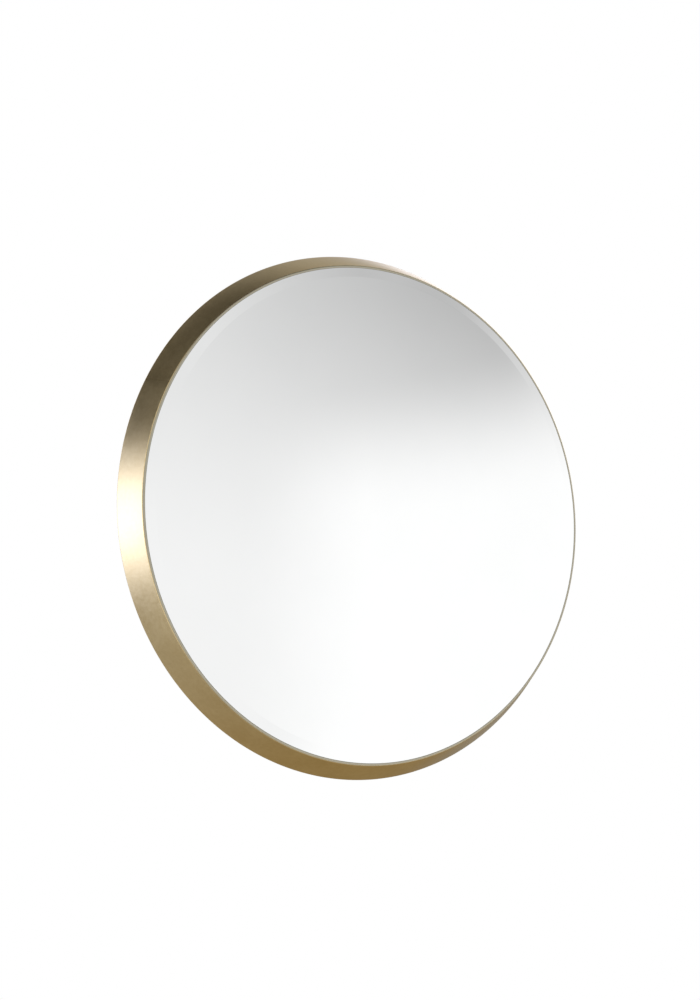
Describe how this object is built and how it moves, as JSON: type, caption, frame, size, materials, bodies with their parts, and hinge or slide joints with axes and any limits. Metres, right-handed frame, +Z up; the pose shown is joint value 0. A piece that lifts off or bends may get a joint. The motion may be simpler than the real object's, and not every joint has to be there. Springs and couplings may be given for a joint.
{
  "type": "convex wall mirror",
  "caption": "Round convex wall mirror with a bevelled pane in a shallow flared satin brass band, a closed sunk back and two swinging D-ring hangers.",
  "frame": {"origin": "centre of the wall plane, the plane of the four bumper faces, on the axis of the round frame", "axes": "+Z up as the mirror hangs, -Y out of the front of the pane, +Y into the wall, +X to the right as seen from the front"},
  "size_m": [0.5998, 0.0648, 0.5998],
  "materials": {
    "satin_brass": "satin, finely brushed with a soft mottle",
    "mirror_glass": "silvered behind clear glass, polished front, ground bevel",
    "foam_tape": "soft closed-cell foam",
    "fibreboard": "smooth pressed fibreboard",
    "painted_steel": "thin dark primer",
    "zinc_steel": "bright zinc plating",
    "black_rubber": "matt moulded rubber"
  },
  "bodies": {
    "mirror_body": {"frame_band": "satin_brass", "mirror_glass": "mirror_glass", "glass_tape": "foam_tape", "glass_packing_ring": "fibreboard", "glass_seat_ring": "painted_steel", "backboard": "fibreboard", "backboard_screw_1": "zinc_steel", "backboard_screw_2": "zinc_steel", "backboard_screw_3": "zinc_steel", "backboard_screw_4": "zinc_steel", "backboard_screw_5": "zinc_steel", "backboard_screw_6": "zinc_steel", "backboard_screw_7": "zinc_steel", "backboard_screw_8": "zinc_steel", "hanger_strap_left": "zinc_steel", "hanger_screw_left_upper": "zinc_steel", "hanger_screw_left_lower": "zinc_steel", "hanger_strap_right": "zinc_steel", "hanger_screw_right_upper": "zinc_steel", "hanger_screw_right_lower": "zinc_steel", "bumper_upper_left": "black_rubber", "bumper_upper_right": "black_rubber", "bumper_lower_left": "black_rubber", "bumper_lower_right": "black_rubber"},
    "left_ring": {"hanger_ring_left": "zinc_steel"},
    "right_ring": {"hanger_ring_right": "zinc_steel"}
  },
  "joints": [
    {"name": "left_ring_swing", "type": "hinge", "parent": "mirror_body", "child": "left_ring", "pos_m": [-0.165, -0.0091, 0.13], "axis": [1, 0, 0], "range_deg": [0, 180]},
    {"name": "right_ring_swing", "type": "hinge", "parent": "mirror_body", "child": "right_ring", "pos_m": [0.165, -0.0091, 0.13], "axis": [1, 0, 0], "range_deg": [0, 180]}
  ]
}
